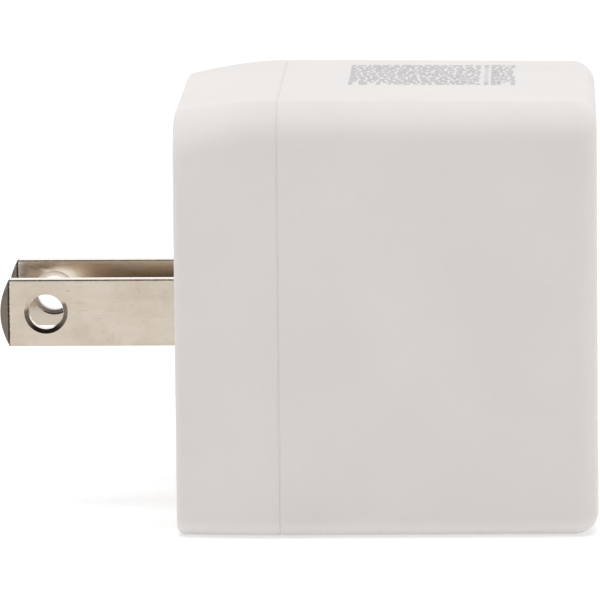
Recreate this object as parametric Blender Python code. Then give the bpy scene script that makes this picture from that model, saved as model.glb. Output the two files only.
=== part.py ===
"""A two-blade USB wall charger: a cube-like plastic housing in two halves with its circuitry inside.

The blades point along -X into the wall outlet, the sockets open along +X and +Z is up.
The origin is at the middle of the underside. Sizes are in metres.
"""

import math

import bmesh
import bpy
from mathutils import Vector

MM = 0.001

# Housing, outside.
BODY_LENGTH = 39.4 * MM
BODY_WIDTH = 37.9 * MM
BODY_HEIGHT = 40.9 * MM
BLADE_REACH = 17.0 * MM
TIP_X = -(BODY_LENGTH + BLADE_REACH) / 2
WALL_X = TIP_X + BLADE_REACH
END_X = WALL_X + BODY_LENGTH
COVER_DEPTH = 9.7 * MM
PARTING_X = WALL_X + COVER_DEPTH
PARTING_GAP = 0.1 * MM
TOP_RADIUS = 3.7 * MM
BASE_RADIUS = 2.4 * MM
WALL_EDGE_RADIUS = 0.7 * MM
END_EDGE_RADIUS = 2.15 * MM
HOUSING_DRAFT = 0.25 * MM
COVER_TOP_DROP = 1.15 * MM
COVER_SIDE_DROP = 0.9 * MM
COVER_TOP_RADIUS = 4.8 * MM
COVER_CURVE = 1.8
SMALLEST_RADIUS = 0.4 * MM

# Housing, inside: the walls, and the lip of one half that enters the other.
SIDE_WALL = 2.0 * MM
END_WALL = 2.2 * MM
LIP_REACH = 3.0 * MM
LIP_POCKET = 3.25 * MM
LIP_OUTER_INSET = 1.15 * MM
POCKET_INSET = 1.0 * MM

# Blades.
BLADE_SPACING = 12.7 * MM
BLADE_THICKNESS = 1.5 * MM
BLADE_HEIGHT = 6.35 * MM
BLADE_Z = 19.65 * MM
BLADE_TAIL_X = -3.9 * MM
BLADE_BOW = 0.85 * MM
BLADE_FACET = 0.3 * MM
BLADE_EDGE = 0.12 * MM
BLADE_HOLE_FROM_TIP = 4.35 * MM
BLADE_HOLE_RADIUS = 1.65 * MM
BLADE_SINK_RADIUS = 2.05 * MM
BLADE_SINK_DEPTH = 0.22 * MM
SLOT_CLEARANCE = 0.15 * MM

# Boards.
BOARD_THICKNESS = 1.2 * MM
BOARD_LOW_X = -6.0 * MM
BOARD_HIGH_X = 25.4 * MM
BOARD_HALF_WIDTH = 16.0 * MM
BOARD_Z = 6.0 * MM
BOARD_TOP = BOARD_Z + BOARD_THICKNESS
STAND_OFF = 0.1 * MM
ON_BOARD = BOARD_TOP + STAND_OFF
PORT_BOARD_X = 13.7 * MM

# USB-A sockets.
PORT_RISE = 5.5 * MM
PORT_WIDTH = 13.1 * MM
PORT_HEIGHT = 5.72 * MM
PORT_SHEET = 0.3 * MM
PORT_CORNER = 0.7 * MM
PORT_BOARD_GAP = 0.3 * MM
PORT_BACK_X = PORT_BOARD_X + BOARD_THICKNESS + PORT_BOARD_GAP
PORT_SETBACK = 0.4 * MM
PORT_MOUTH_X = END_X - PORT_SETBACK
PORT_CLEARANCE = 0.15 * MM
TONGUE_WIDTH = 11.1 * MM
TONGUE_THICKNESS = 1.84 * MM
TONGUE_OFFSET = 0.89 * MM
TONGUE_BASE = 2.0 * MM
TONGUE_SETBACK = 0.9 * MM
CONTACT_SIZE = (9.0 * MM, 1.0 * MM, 0.2 * MM)
CONTACT_OFFSETS = (-3.5 * MM, -1.0 * MM, 1.0 * MM, 3.5 * MM)

# Carrier and spring strips behind the wall face.
CARRIER_DEPTH = 2.4 * MM
CARRIER_HALF_WIDTH = 10.6 * MM
CARRIER_HALF_HEIGHT = 5.4 * MM
CARRIER_EDGE = 0.4 * MM
STRIP_THICKNESS = 0.4 * MM
STRIP_X = -4.8 * MM
STRIP_HALF_WIDTH = 0.6 * MM
STRIP_PAD_HALF_WIDTH = 1.1 * MM
STRIP_PAD_HALF_HEIGHT = 2.6 * MM
STRIP_NECK_HALF_HEIGHT = 3.6 * MM

# Board outlines and the sheet under the main board.
PORT_BOARD_HALF_WIDTH = 9.4 * MM
PORT_BOARD_TOP = 31.4 * MM
SHEET_LOW_Z = 2.3 * MM
SHEET_HIGH_Z = 2.6 * MM

# Transformer.
CORE_CENTRE_X = 5.3 * MM
CORE_CENTRE_Y = 8.0 * MM
CORE_CENTRE_RISE = 7.1 * MM
CORE_HALF_LENGTH = 7.5 * MM
CORE_HALF_WIDTH = 7.6 * MM
CORE_BACK = 2.5 * MM
CORE_OUTER_LEG = 2.3 * MM
CORE_HALF_LEG = 2.5 * MM
BOBBIN_WALL = 0.9 * MM
FLANGE_HALF_WIDTH = 5.1 * MM
FLANGE_HALF_HEIGHT = 6.7 * MM
WINDING_HALF_WIDTH = 5.0 * MM
WINDING_HALF_HEIGHT = 6.3 * MM
WINDING_CORNER = 1.5 * MM
SHARP_CORNER = 0.2 * MM

# Parts on the main board: the place in X and Y of each one's axis or low corner, then its size.
CAPACITOR_EASE = 0.4 * MM
CAPACITOR_GROOVE_Z = 2.0 * MM
CAPACITOR_GROOVE_DEPTH = 0.25 * MM
INPUT_CAPACITOR_HEIGHT = 17.0 * MM
INPUT_FRONT_PLACE = (1.2 * MM, -8.9 * MM)
INPUT_FRONT_RADIUS = 4.1 * MM
INPUT_REAR_PLACE = (9.5 * MM, -9.2 * MM)
INPUT_REAR_RADIUS = 3.7 * MM
OUTPUT_CAPACITOR_HEIGHT = 12.0 * MM
OUTPUT_CAPACITOR_RADIUS = 3.9 * MM
OUTPUT_NEAR_PLACE = (21.6 * MM, -11.6 * MM)
OUTPUT_FAR_PLACE = (22.1 * MM, 11.6 * MM)
CHOKE_PLACE = (1.2 * MM, -2.3 * MM)
CHOKE_RIM = 2.3 * MM
CHOKE_WAIST = 1.9 * MM
CHOKE_HEIGHT = 7.5 * MM
CHOKE_FLANGE = 1.0 * MM
RESISTOR_PLACE = (-3.4 * MM, -14.6 * MM)
RESISTOR_LENGTH = 9.0 * MM
RESISTOR_RADIUS = 1.15 * MM
RESISTOR_CAP_RADIUS = 1.4 * MM
RESISTOR_CAP_LENGTH = 2.2 * MM
RESISTOR_CAP_EASE = 0.5 * MM
DISC_PLACE = (16.6 * MM, 11.8 * MM)
DISC_RADIUS = 3.9 * MM
DISC_HALF_THICKNESS = 1.2 * MM
DISC_RIM_HALF_WIDTH = 0.4 * MM
BRIDGE_PLACE = (4.4 * MM, -4.8 * MM)
BRIDGE_SIZE = (4.6 * MM, 4.4 * MM, 2.6 * MM)
OPTOCOUPLER_PLACE = (9.5 * MM, -4.9 * MM)
OPTOCOUPLER_SIZE = (3.4 * MM, 4.4 * MM, 3.2 * MM)
DIODE_PLACE = (16.5 * MM, -3.0 * MM)
DIODE_SIZE = (6.8 * MM, 6.0 * MM, 2.3 * MM)
CONTROLLER_PLACE = (2.0 * MM, -6.0 * MM)
CONTROLLER_SIZE = (4.9 * MM, 3.9 * MM, 1.5 * MM)

ROOT_NAME = "usb_wall_charger"
AXES = (Vector((1, 0, 0)), Vector((0, 1, 0)), Vector((0, 0, 1)))
CORNER_STEPS = 6
PORT_STEPS = 3
ROUND_STEPS = 24
COMPONENT_STEPS = 20
SHARP_ANGLE = math.radians(35)
CUT_MARGIN = 1.0 * MM


def clear_scene():
    """Remove everything the start-up scene holds, and add the empty that the pieces hang from."""
    for obj in list(bpy.data.objects):
        bpy.data.objects.remove(obj, do_unlink=True)
    bpy.context.scene.collection.objects.link(bpy.data.objects.new(ROOT_NAME, None))


def make_material(name, color, roughness, metallic=0.0):
    """A Principled material of one colour."""
    material = bpy.data.materials.new(name)
    material.use_nodes = True
    shader = material.node_tree.nodes["Principled BSDF"]
    shader.inputs["Base Color"].default_value = (*color, 1.0)
    shader.inputs["Roughness"].default_value = roughness
    shader.inputs["Metallic"].default_value = metallic
    return material


def add_object(name, bm, material):
    """Link a bmesh as a named object with its origin at its middle, smooth except at its sharp edges."""
    low, high = (Vector(pick(vert.co[i] for vert in bm.verts) for i in range(3)) for pick in (min, max))
    middle = (low + high) / 2
    bmesh.ops.translate(bm, verts=bm.verts, vec=-middle)
    bmesh.ops.recalc_face_normals(bm, faces=bm.faces)
    mesh = bpy.data.meshes.new(name)
    bm.to_mesh(mesh)
    bm.free()
    mesh.shade_smooth()
    mesh.set_sharp_from_angle(angle=SHARP_ANGLE)
    obj = bpy.data.objects.new(name, mesh)
    obj.location = middle
    obj.parent = bpy.data.objects[ROOT_NAME]
    if material:
        mesh.materials.append(material)
    bpy.context.scene.collection.objects.link(obj)
    return obj


def loft(name, rings, material, looped=False):
    """Join rings of equal length into one closed surface, capped unless the last ring meets the first."""
    bm = bmesh.new()
    rows = [[bm.verts.new(point) for point in ring] for ring in rings]
    pairs = list(zip(rows, rows[1:]))
    if looped:
        pairs.append((rows[-1], rows[0]))
    for first, second in pairs:
        for i in range(len(first)):
            j = (i + 1) % len(first)
            bm.faces.new((first[i], first[j], second[j], second[i]))
    if not looped:
        bm.faces.new(rows[0])
        bm.faces.new(rows[-1])
    return add_object(name, bm, material)


def box(name, low, high, material, edge=0.0):
    """A block between two corners, its edges bevelled where edge is given."""
    bm = bmesh.new()
    bmesh.ops.create_cube(bm, size=1.0)
    for vert in bm.verts:
        vert.co = Vector(high[i] if vert.co[i] > 0 else low[i] for i in range(3))
    if edge:
        bmesh.ops.bevel(bm, geom=bm.edges, offset=edge, segments=1, affect="EDGES")
    return add_object(name, bm, material)


def lathe(name, profile, centre, axis, material, steps=ROUND_STEPS):
    """Turn a profile of (radius, height) pairs about an axis through centre."""
    across, over = [vector for number, vector in enumerate(AXES) if number != axis]
    rings = []
    for radius, height in profile:
        ring = []
        for step in range(steps):
            angle = 2 * math.pi * step / steps
            offset = across * (radius * math.cos(angle)) + over * (radius * math.sin(angle))
            ring.append(Vector(centre) + offset + AXES[axis] * height)
        rings.append(ring)
    return loft(name, rings, material)


def prism(name, outline, axis, low, high, material):
    """Extrude an outline, given in the two other axes in order, from low to high along an axis."""
    rings = []
    for level in (low, high):
        ring = []
        for first, second in outline:
            point = [first, second]
            point.insert(axis, level)
            ring.append(Vector(point))
        rings.append(ring)
    return loft(name, rings, material)


def cut(obj, cutter):
    """Subtract a cutter, which is hidden from renders."""
    cutter.hide_render = True
    cutter.display_type = "WIRE"
    modifier = obj.modifiers.new(cutter.name, "BOOLEAN")
    modifier.operation = "DIFFERENCE"
    modifier.solver = "EXACT"
    modifier.object = cutter


def section(x, half_width, low, high, low_radius, high_radius, steps=CORNER_STEPS):
    """One ring of a rounded rectangle in a plane across X."""
    corners = (
        (half_width - high_radius, high - high_radius, high_radius, 0),
        (-half_width + high_radius, high - high_radius, high_radius, 1),
        (-half_width + low_radius, low + low_radius, low_radius, 2),
        (half_width - low_radius, low + low_radius, low_radius, 3),
    )
    ring = []
    for y, z, radius, quarter in corners:
        for step in range(steps + 1):
            angle = math.pi / 2 * (quarter + step / steps)
            ring.append(Vector((x, y + radius * math.cos(angle), z + radius * math.sin(angle))))
    return ring


def body_section(x, inset):
    """The housing's section at x, moved inwards by inset. The underside is level all the way.

    Towards the wall the front cover's top and sides curve in and its upper corners grow rounder.
    Towards the sockets the main housing's top and sides have a moulding draft.
    """
    cover = max(0.0, (PARTING_X - x) / COVER_DEPTH) ** COVER_CURVE
    draft = HOUSING_DRAFT * max(0.0, (x - PARTING_X) / (END_X - PARTING_X))
    top_radius = TOP_RADIUS + (COVER_TOP_RADIUS - TOP_RADIUS) * cover
    return section(
        x,
        BODY_WIDTH / 2 - COVER_SIDE_DROP * cover - draft - inset,
        inset,
        BODY_HEIGHT - COVER_TOP_DROP * cover - draft - inset,
        max(BASE_RADIUS - inset, SMALLEST_RADIUS),
        max(top_radius - inset, SMALLEST_RADIUS),
    )


def edge_rings(end_x, inward, radius, steps):
    """Rings of the rounding at one end of the housing, from its end face to its side."""
    rings = []
    for step in range(steps + 1):
        angle = math.pi / 2 * step / steps
        x = end_x + inward * radius * (1 - math.cos(angle))
        rings.append(body_section(x, radius * (1 - math.sin(angle))))
    return rings


def front_cover(material):
    """The half at the wall: a shallow cup, open along +X, with a slot for each blade."""
    rim_x = PARTING_X - PARTING_GAP / 2
    pocket_x = PARTING_X - LIP_POCKET
    floor_x = WALL_X + END_WALL
    rings = edge_rings(WALL_X, 1, WALL_EDGE_RADIUS, 4)
    first_x = WALL_X + WALL_EDGE_RADIUS
    stations = 5
    for step in range(1, stations + 1):
        rings.append(body_section(first_x + (rim_x - first_x) * step / stations, 0.0))
    rings.append(body_section(rim_x, POCKET_INSET))
    rings.append(body_section(pocket_x, POCKET_INSET))
    rings.append(body_section(pocket_x, SIDE_WALL))
    rings.append(body_section(floor_x, SIDE_WALL))
    cover = loft("front_cover", rings, material)
    for side, y in (("near", -BLADE_SPACING / 2), ("far", BLADE_SPACING / 2)):
        cut(cover, blade_slot(f"cover_slot_{side}", y, WALL_X, floor_x))
    return cover


def blade_slot(name, y, low_x, high_x):
    """A cutter for the slot that one blade passes through."""
    half_thickness = BLADE_THICKNESS / 2 + SLOT_CLEARANCE
    half_height = BLADE_HEIGHT / 2 + SLOT_CLEARANCE
    low = (low_x - CUT_MARGIN, y - half_thickness, BLADE_Z - half_height)
    high = (high_x + CUT_MARGIN, y + half_thickness, BLADE_Z + half_height)
    return box(name, low, high, None)


def main_housing(material):
    """The half at the sockets: a deep cup whose lip enters the front cover, with two socket windows."""
    rim_x = PARTING_X + PARTING_GAP / 2
    rings = edge_rings(END_X, -1, END_EDGE_RADIUS, 6)
    rings.append(body_section(rim_x, 0.0))
    rings.append(body_section(rim_x, LIP_OUTER_INSET))
    rings.append(body_section(PARTING_X - LIP_REACH, LIP_OUTER_INSET))
    rings.append(body_section(PARTING_X - LIP_REACH, SIDE_WALL))
    rings.append(body_section(END_X - END_WALL, SIDE_WALL))
    housing = loft("main_housing", rings, material)
    for name, z in port_levels():
        cut(housing, port_window(f"{name}_window", z))
    return housing


def port_levels():
    """Each socket's name and the height of its centre line."""
    middle = BODY_HEIGHT / 2
    return (("lower_port", middle - PORT_RISE), ("upper_port", middle + PORT_RISE))


def port_window(name, z):
    """A cutter for the window that one socket's shell stands in."""
    half_width = PORT_WIDTH / 2 + PORT_CLEARANCE
    half_height = PORT_HEIGHT / 2 + PORT_CLEARANCE
    low_x = END_X - END_WALL - CUT_MARGIN
    radius = PORT_CORNER + PORT_CLEARANCE
    rings = []
    for x in (low_x, END_X + CUT_MARGIN):
        rings.append(section(x, half_width, z - half_height, z + half_height, radius, radius, PORT_STEPS))
    return loft(name, rings, None)


def blade(name, y, material):
    """A flat blade with eased edges, a bowed and bevelled tip, and a countersunk hole."""
    flat_x = TIP_X + BLADE_BOW
    half_height = BLADE_HEIGHT / 2
    half_thickness = BLADE_THICKNESS / 2
    bow_steps = 10
    rings = []
    side = ((BLADE_FACET, 0.0), (BLADE_EDGE, 0.0), (0.0, BLADE_EDGE))
    levels = [(depth - half_thickness, inset) for depth, inset in reversed(side)]
    levels += [(half_thickness - depth, inset) for depth, inset in side]
    for level, inset in levels:
        full = min(1.0, (half_thickness - abs(level)) / BLADE_FACET)
        ring = []
        for step in range(bow_steps + 1):
            along = 2.0 * step / bow_steps - 1.0
            bow = BLADE_BOW * (1.0 - along * along) * full
            ring.append(Vector((flat_x - bow, y + level, BLADE_Z + along * (half_height - inset))))
        for along in (1.0, -1.0):
            ring.append(Vector((BLADE_TAIL_X, y + level, BLADE_Z + along * (half_height - inset))))
        rings.append(ring)
    body = loft(name, rings, material)
    deep = half_thickness - BLADE_SINK_DEPTH
    slope = (BLADE_SINK_RADIUS - BLADE_HOLE_RADIUS) / BLADE_SINK_DEPTH
    outside = half_thickness + CUT_MARGIN
    wide = BLADE_HOLE_RADIUS + slope * (outside - deep)
    profile = ((wide, -outside), (BLADE_HOLE_RADIUS, -deep), (BLADE_HOLE_RADIUS, deep), (wide, outside))
    centre = (TIP_X + BLADE_HOLE_FROM_TIP, y, BLADE_Z)
    cut(body, lathe(f"{name}_hole", profile, centre, 1, None))
    return body


def blade_carrier(material):
    """The insulating block behind the wall face that both blades pass through."""
    low_x = WALL_X + END_WALL + STAND_OFF
    high_x = low_x + CARRIER_DEPTH
    low = (low_x, -CARRIER_HALF_WIDTH, BLADE_Z - CARRIER_HALF_HEIGHT)
    high = (high_x, CARRIER_HALF_WIDTH, BLADE_Z + CARRIER_HALF_HEIGHT)
    carrier = box("blade_carrier", low, high, material, CARRIER_EDGE)
    for side, y in (("near", -BLADE_SPACING / 2), ("far", BLADE_SPACING / 2)):
        cut(carrier, blade_slot(f"carrier_slot_{side}", y, low_x, high_x))
    return carrier


def contact_strip(side, sign, material):
    """A spring strip from one blade's tail down to the main board."""
    rear = (
        (STRIP_X + STRIP_PAD_HALF_WIDTH, BLADE_Z + STRIP_PAD_HALF_HEIGHT),
        (STRIP_X + STRIP_PAD_HALF_WIDTH, BLADE_Z - STRIP_PAD_HALF_HEIGHT),
        (STRIP_X + STRIP_HALF_WIDTH, BLADE_Z - STRIP_NECK_HALF_HEIGHT),
        (STRIP_X + STRIP_HALF_WIDTH, ON_BOARD),
    )
    front = [(2 * STRIP_X - x, z) for x, z in rear]
    outline = front + list(reversed(rear))
    inner = sign * (BLADE_SPACING / 2 + BLADE_THICKNESS / 2 + STAND_OFF)
    outer = inner + sign * STRIP_THICKNESS
    return prism(f"contact_strip_{side}", outline, 1, inner, outer, material)


def main_board(material):
    """The horizontal board that carries the mains side and the output capacitors."""
    low = (BOARD_LOW_X, -BOARD_HALF_WIDTH, BOARD_Z)
    high = (BOARD_HIGH_X, BOARD_HALF_WIDTH, BOARD_TOP)
    return box("main_board", low, high, material)


def insulating_sheet(material):
    """The thin sheet between the main board and the floor of the housing."""
    low = (BOARD_LOW_X, -BOARD_HALF_WIDTH, SHEET_LOW_Z)
    high = (BOARD_HIGH_X, BOARD_HALF_WIDTH, SHEET_HIGH_Z)
    return box("insulating_sheet", low, high, material)


def port_board(material):
    """The upright board behind the two sockets."""
    low = (PORT_BOARD_X, -PORT_BOARD_HALF_WIDTH, ON_BOARD)
    high = (PORT_BOARD_X + BOARD_THICKNESS, PORT_BOARD_HALF_WIDTH, PORT_BOARD_TOP)
    return box("port_board", low, high, material)


def port_shell(name, z, material):
    """A folded sheet-metal tube, open at both ends."""
    rings = []
    for inset in (0.0, PORT_SHEET):
        half_width = PORT_WIDTH / 2 - inset
        half_height = PORT_HEIGHT / 2 - inset
        radius = PORT_CORNER - inset
        pair = []
        for x in (PORT_BACK_X, PORT_MOUTH_X):
            low, high = z - half_height, z + half_height
            pair.append(section(x, half_width, low, high, radius, radius, PORT_STEPS))
        rings += pair if inset == 0.0 else pair[::-1]
    return loft(f"{name}_shell", rings, material, looped=True)


def port_tongue(name, z, material):
    """The insulating tongue of one socket with the block that closes its shell's rear."""
    half_height = PORT_HEIGHT / 2 - PORT_SHEET - STAND_OFF
    low = z + TONGUE_OFFSET - TONGUE_THICKNESS / 2
    high = low + TONGUE_THICKNESS
    base_x = PORT_BACK_X + TONGUE_BASE
    tip_x = PORT_MOUTH_X - TONGUE_SETBACK
    outline = (
        (PORT_BACK_X, z - half_height),
        (base_x, z - half_height),
        (base_x, low),
        (tip_x, low),
        (tip_x, high),
        (base_x, high),
        (base_x, z + half_height),
        (PORT_BACK_X, z + half_height),
    )
    return prism(f"{name}_tongue", outline, 1, -TONGUE_WIDTH / 2, TONGUE_WIDTH / 2, material)


def port_contacts(name, z, material):
    """The four contacts under one tongue."""
    length, width, thickness = CONTACT_SIZE
    low_x = PORT_BACK_X + TONGUE_BASE + STAND_OFF
    high_z = z + TONGUE_OFFSET - TONGUE_THICKNESS / 2 - STAND_OFF / 2
    for number, y in enumerate(CONTACT_OFFSETS, 1):
        low = (low_x, y - width / 2, high_z - thickness)
        high = (low_x + length, y + width / 2, high_z)
        box(f"{name}_contact_{number}", low, high, material)


def transformer(ferrite, plastic, tape):
    """An E-core transformer lying along X: a bobbin, its winding and two core halves."""
    centre = Vector((CORE_CENTRE_X, CORE_CENTRE_Y, BOARD_TOP + CORE_CENTRE_RISE))
    for name, sign in (("front", -1), ("rear", 1)):
        middle_x = centre.x + sign * STAND_OFF
        inner_x = centre.x + sign * (CORE_HALF_LENGTH - CORE_BACK)
        outer_x = centre.x + sign * CORE_HALF_LENGTH
        outline = (
            (outer_x, centre.y - CORE_HALF_WIDTH),
            (outer_x, centre.y + CORE_HALF_WIDTH),
            (middle_x, centre.y + CORE_HALF_WIDTH),
            (middle_x, centre.y + CORE_HALF_WIDTH - CORE_OUTER_LEG),
            (inner_x, centre.y + CORE_HALF_WIDTH - CORE_OUTER_LEG),
            (inner_x, centre.y + CORE_HALF_LEG),
            (middle_x, centre.y + CORE_HALF_LEG),
            (middle_x, centre.y - CORE_HALF_LEG),
            (inner_x, centre.y - CORE_HALF_LEG),
            (inner_x, centre.y - CORE_HALF_WIDTH + CORE_OUTER_LEG),
            (middle_x, centre.y - CORE_HALF_WIDTH + CORE_OUTER_LEG),
            (middle_x, centre.y - CORE_HALF_WIDTH),
        )
        low, high = centre.z - CORE_HALF_LEG, centre.z + CORE_HALF_LEG
        prism(f"transformer_core_{name}", outline, 2, low, high, ferrite)
    window = CORE_HALF_LENGTH - CORE_BACK - STAND_OFF
    bore = CORE_HALF_LEG + STAND_OFF
    bobbin(centre, window, bore, plastic)
    winding(centre, window - BOBBIN_WALL - 2 * STAND_OFF, bore + BOBBIN_WALL + STAND_OFF, tape)


def square_ring(x, centre, half_width, half_height, corner):
    """One ring across X with equal corners, centred on a point."""
    ring = section(x, half_width, centre.z - half_height, centre.z + half_height, corner, corner, 2)
    return [point + Vector((0.0, centre.y, 0.0)) for point in ring]


def bobbin(centre, half_length, half_bore, material):
    """A square tube between two flanges."""
    tube = half_bore + BOBBIN_WALL
    corner = SHARP_CORNER
    rings = []
    for x in (-half_length, -half_length + BOBBIN_WALL):
        rings.append(square_ring(centre.x + x, centre, FLANGE_HALF_WIDTH, FLANGE_HALF_HEIGHT, corner))
    for x in (-half_length + BOBBIN_WALL, half_length - BOBBIN_WALL):
        rings.append(square_ring(centre.x + x, centre, tube, tube, corner))
    for x in (half_length - BOBBIN_WALL, half_length):
        rings.append(square_ring(centre.x + x, centre, FLANGE_HALF_WIDTH, FLANGE_HALF_HEIGHT, corner))
    for x in (half_length, -half_length):
        rings.append(square_ring(centre.x + x, centre, half_bore, half_bore, corner))
    return loft("transformer_bobbin", rings, material, looped=True)


def winding(centre, half_length, half_bore, material):
    """The taped winding around the bobbin's tube."""
    rings = []
    for x in (-half_length, half_length):
        size = (WINDING_HALF_WIDTH, WINDING_HALF_HEIGHT, WINDING_CORNER)
        rings.append(square_ring(centre.x + x, centre, *size))
    for x in (half_length, -half_length):
        rings.append(square_ring(centre.x + x, centre, half_bore, half_bore, SHARP_CORNER))
    return loft("transformer_winding", rings, material, looped=True)


def capacitor(name, place, radius, height, material):
    """A standing electrolytic capacitor with a groove near its foot and an eased top edge."""
    ease = CAPACITOR_EASE
    groove = CAPACITOR_GROOVE_Z
    profile = (
        (radius - ease, 0.0),
        (radius, ease),
        (radius, groove - ease),
        (radius - CAPACITOR_GROOVE_DEPTH, groove),
        (radius, groove + ease),
        (radius, height - ease),
        (radius - ease, height),
    )
    return lathe(name, profile, (*place, ON_BOARD), 2, material, COMPONENT_STEPS)


def choke(material):
    """A drum-shaped filter choke, standing."""
    slope = CHOKE_RIM - CHOKE_WAIST
    top = CHOKE_HEIGHT - CHOKE_FLANGE
    profile = (
        (CHOKE_RIM, 0.0),
        (CHOKE_RIM, CHOKE_FLANGE),
        (CHOKE_WAIST, CHOKE_FLANGE + slope),
        (CHOKE_WAIST, top - slope),
        (CHOKE_RIM, top),
        (CHOKE_RIM, CHOKE_HEIGHT),
    )
    return lathe("filter_choke", profile, (*CHOKE_PLACE, ON_BOARD), 2, material, COMPONENT_STEPS)


def fusible_resistor(material):
    """An axial resistor lying along X at the board's edge, with swollen end caps."""
    half = (
        (RESISTOR_RADIUS, 0.0),
        (RESISTOR_CAP_RADIUS, RESISTOR_CAP_EASE),
        (RESISTOR_CAP_RADIUS, RESISTOR_CAP_LENGTH - RESISTOR_CAP_EASE),
        (RESISTOR_RADIUS, RESISTOR_CAP_LENGTH),
    )
    profile = half + tuple((radius, RESISTOR_LENGTH - along) for radius, along in reversed(half))
    centre = (*RESISTOR_PLACE, ON_BOARD + RESISTOR_CAP_RADIUS)
    return lathe("fusible_resistor", profile, centre, 0, material, COMPONENT_STEPS)


def safety_capacitor(material):
    """A disc capacitor standing across X."""
    face_radius = DISC_RADIUS - DISC_HALF_THICKNESS
    profile = (
        (face_radius, -DISC_HALF_THICKNESS),
        (DISC_RADIUS, -DISC_RIM_HALF_WIDTH),
        (DISC_RADIUS, DISC_RIM_HALF_WIDTH),
        (face_radius, DISC_HALF_THICKNESS),
    )
    centre = (*DISC_PLACE, ON_BOARD + DISC_RADIUS)
    return lathe("safety_capacitor", profile, centre, 0, material, COMPONENT_STEPS)


def block_part(name, place, base, size, material):
    """A moulded component body with eased edges, given its low corner, its base's height and its size."""
    low = (*place, base)
    high = [low[i] + size[i] for i in range(3)]
    return box(name, low, high, material, SHARP_CORNER)


def build():
    """Make every piece of the charger."""
    clear_scene()
    shell = make_material("shell_plastic", (0.80, 0.785, 0.77), 0.5)
    nickel = make_material("nickel_plate", (0.72, 0.69, 0.64), 0.25, 1.0)
    black = make_material("black_plastic", (0.02, 0.02, 0.022), 0.45)
    tongue = make_material("tongue_plastic", (0.02, 0.02, 0.022), 0.4)
    bronze = make_material("spring_bronze", (0.72, 0.45, 0.22), 0.35, 1.0)
    laminate = make_material("board_laminate", (0.03, 0.16, 0.07), 0.5)
    steel = make_material("port_steel", (0.62, 0.62, 0.63), 0.28, 1.0)
    gold = make_material("contact_gold", (0.9, 0.66, 0.28), 0.25, 1.0)
    ferrite = make_material("ferrite", (0.045, 0.045, 0.05), 0.6)
    tape = make_material("winding_tape", (0.75, 0.55, 0.05), 0.4)
    sleeve = make_material("capacitor_sleeve", (0.03, 0.04, 0.07), 0.35)
    blue = make_material("blue_ceramic", (0.04, 0.16, 0.5), 0.3)
    tan = make_material("resistor_coat", (0.16, 0.3, 0.2), 0.45)
    fishpaper = make_material("insulating_paper", (0.75, 0.74, 0.7), 0.7)

    front_cover(shell)
    main_housing(shell)
    for side, sign in (("near", -1), ("far", 1)):
        blade(f"blade_{side}", sign * BLADE_SPACING / 2, nickel)
        contact_strip(side, sign, bronze)
    blade_carrier(black)
    main_board(laminate)
    port_board(laminate)
    for name, z in port_levels():
        port_shell(name, z, steel)
        port_tongue(name, z, tongue)
        port_contacts(name, z, gold)
    transformer(ferrite, black, tape)
    inputs = (
        ("front", INPUT_FRONT_PLACE, INPUT_FRONT_RADIUS),
        ("rear", INPUT_REAR_PLACE, INPUT_REAR_RADIUS),
    )
    for end, place, radius in inputs:
        capacitor(f"input_capacitor_{end}", place, radius, INPUT_CAPACITOR_HEIGHT, sleeve)
    outputs = (("near", OUTPUT_NEAR_PLACE), ("far", OUTPUT_FAR_PLACE))
    for side, place in outputs:
        name = f"output_capacitor_{side}"
        capacitor(name, place, OUTPUT_CAPACITOR_RADIUS, OUTPUT_CAPACITOR_HEIGHT, sleeve)
    choke(ferrite)
    fusible_resistor(tan)
    safety_capacitor(blue)
    block_part("bridge_rectifier", BRIDGE_PLACE, ON_BOARD, BRIDGE_SIZE, black)
    block_part("optocoupler", OPTOCOUPLER_PLACE, ON_BOARD, OPTOCOUPLER_SIZE, black)
    block_part("output_diode", DIODE_PLACE, ON_BOARD, DIODE_SIZE, black)
    below = BOARD_Z - STAND_OFF - CONTROLLER_SIZE[2]
    block_part("controller_chip", CONTROLLER_PLACE, below, CONTROLLER_SIZE, black)
    insulating_sheet(fishpaper)


build()
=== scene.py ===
"""The looks of a two-blade USB wall charger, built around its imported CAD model.

The housing's two halves, the blades and the socket fittings are remade as fine meshes in the places
that the CAD gives. The parts inside keep their CAD solids and get their own materials.
"""

import math
import random

import bmesh
import bpy
from mathutils import Matrix, Vector


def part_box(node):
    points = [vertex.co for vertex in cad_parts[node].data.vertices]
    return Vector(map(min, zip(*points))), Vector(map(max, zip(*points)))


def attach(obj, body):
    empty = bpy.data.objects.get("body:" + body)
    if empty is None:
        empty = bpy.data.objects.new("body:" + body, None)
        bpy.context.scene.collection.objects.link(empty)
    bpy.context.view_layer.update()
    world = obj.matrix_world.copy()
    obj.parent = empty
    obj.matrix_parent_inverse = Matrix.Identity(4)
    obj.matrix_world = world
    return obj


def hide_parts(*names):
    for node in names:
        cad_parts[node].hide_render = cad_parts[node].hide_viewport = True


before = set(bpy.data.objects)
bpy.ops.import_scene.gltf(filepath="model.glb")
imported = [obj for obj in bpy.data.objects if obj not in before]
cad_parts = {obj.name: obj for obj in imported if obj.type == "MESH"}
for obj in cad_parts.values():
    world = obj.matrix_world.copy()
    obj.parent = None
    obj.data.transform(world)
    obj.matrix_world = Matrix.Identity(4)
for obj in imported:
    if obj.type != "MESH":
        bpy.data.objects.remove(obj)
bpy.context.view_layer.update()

MM = 0.001
AXES = (Vector((1, 0, 0)), Vector((0, 1, 0)), Vector((0, 0, 1)))

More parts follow.
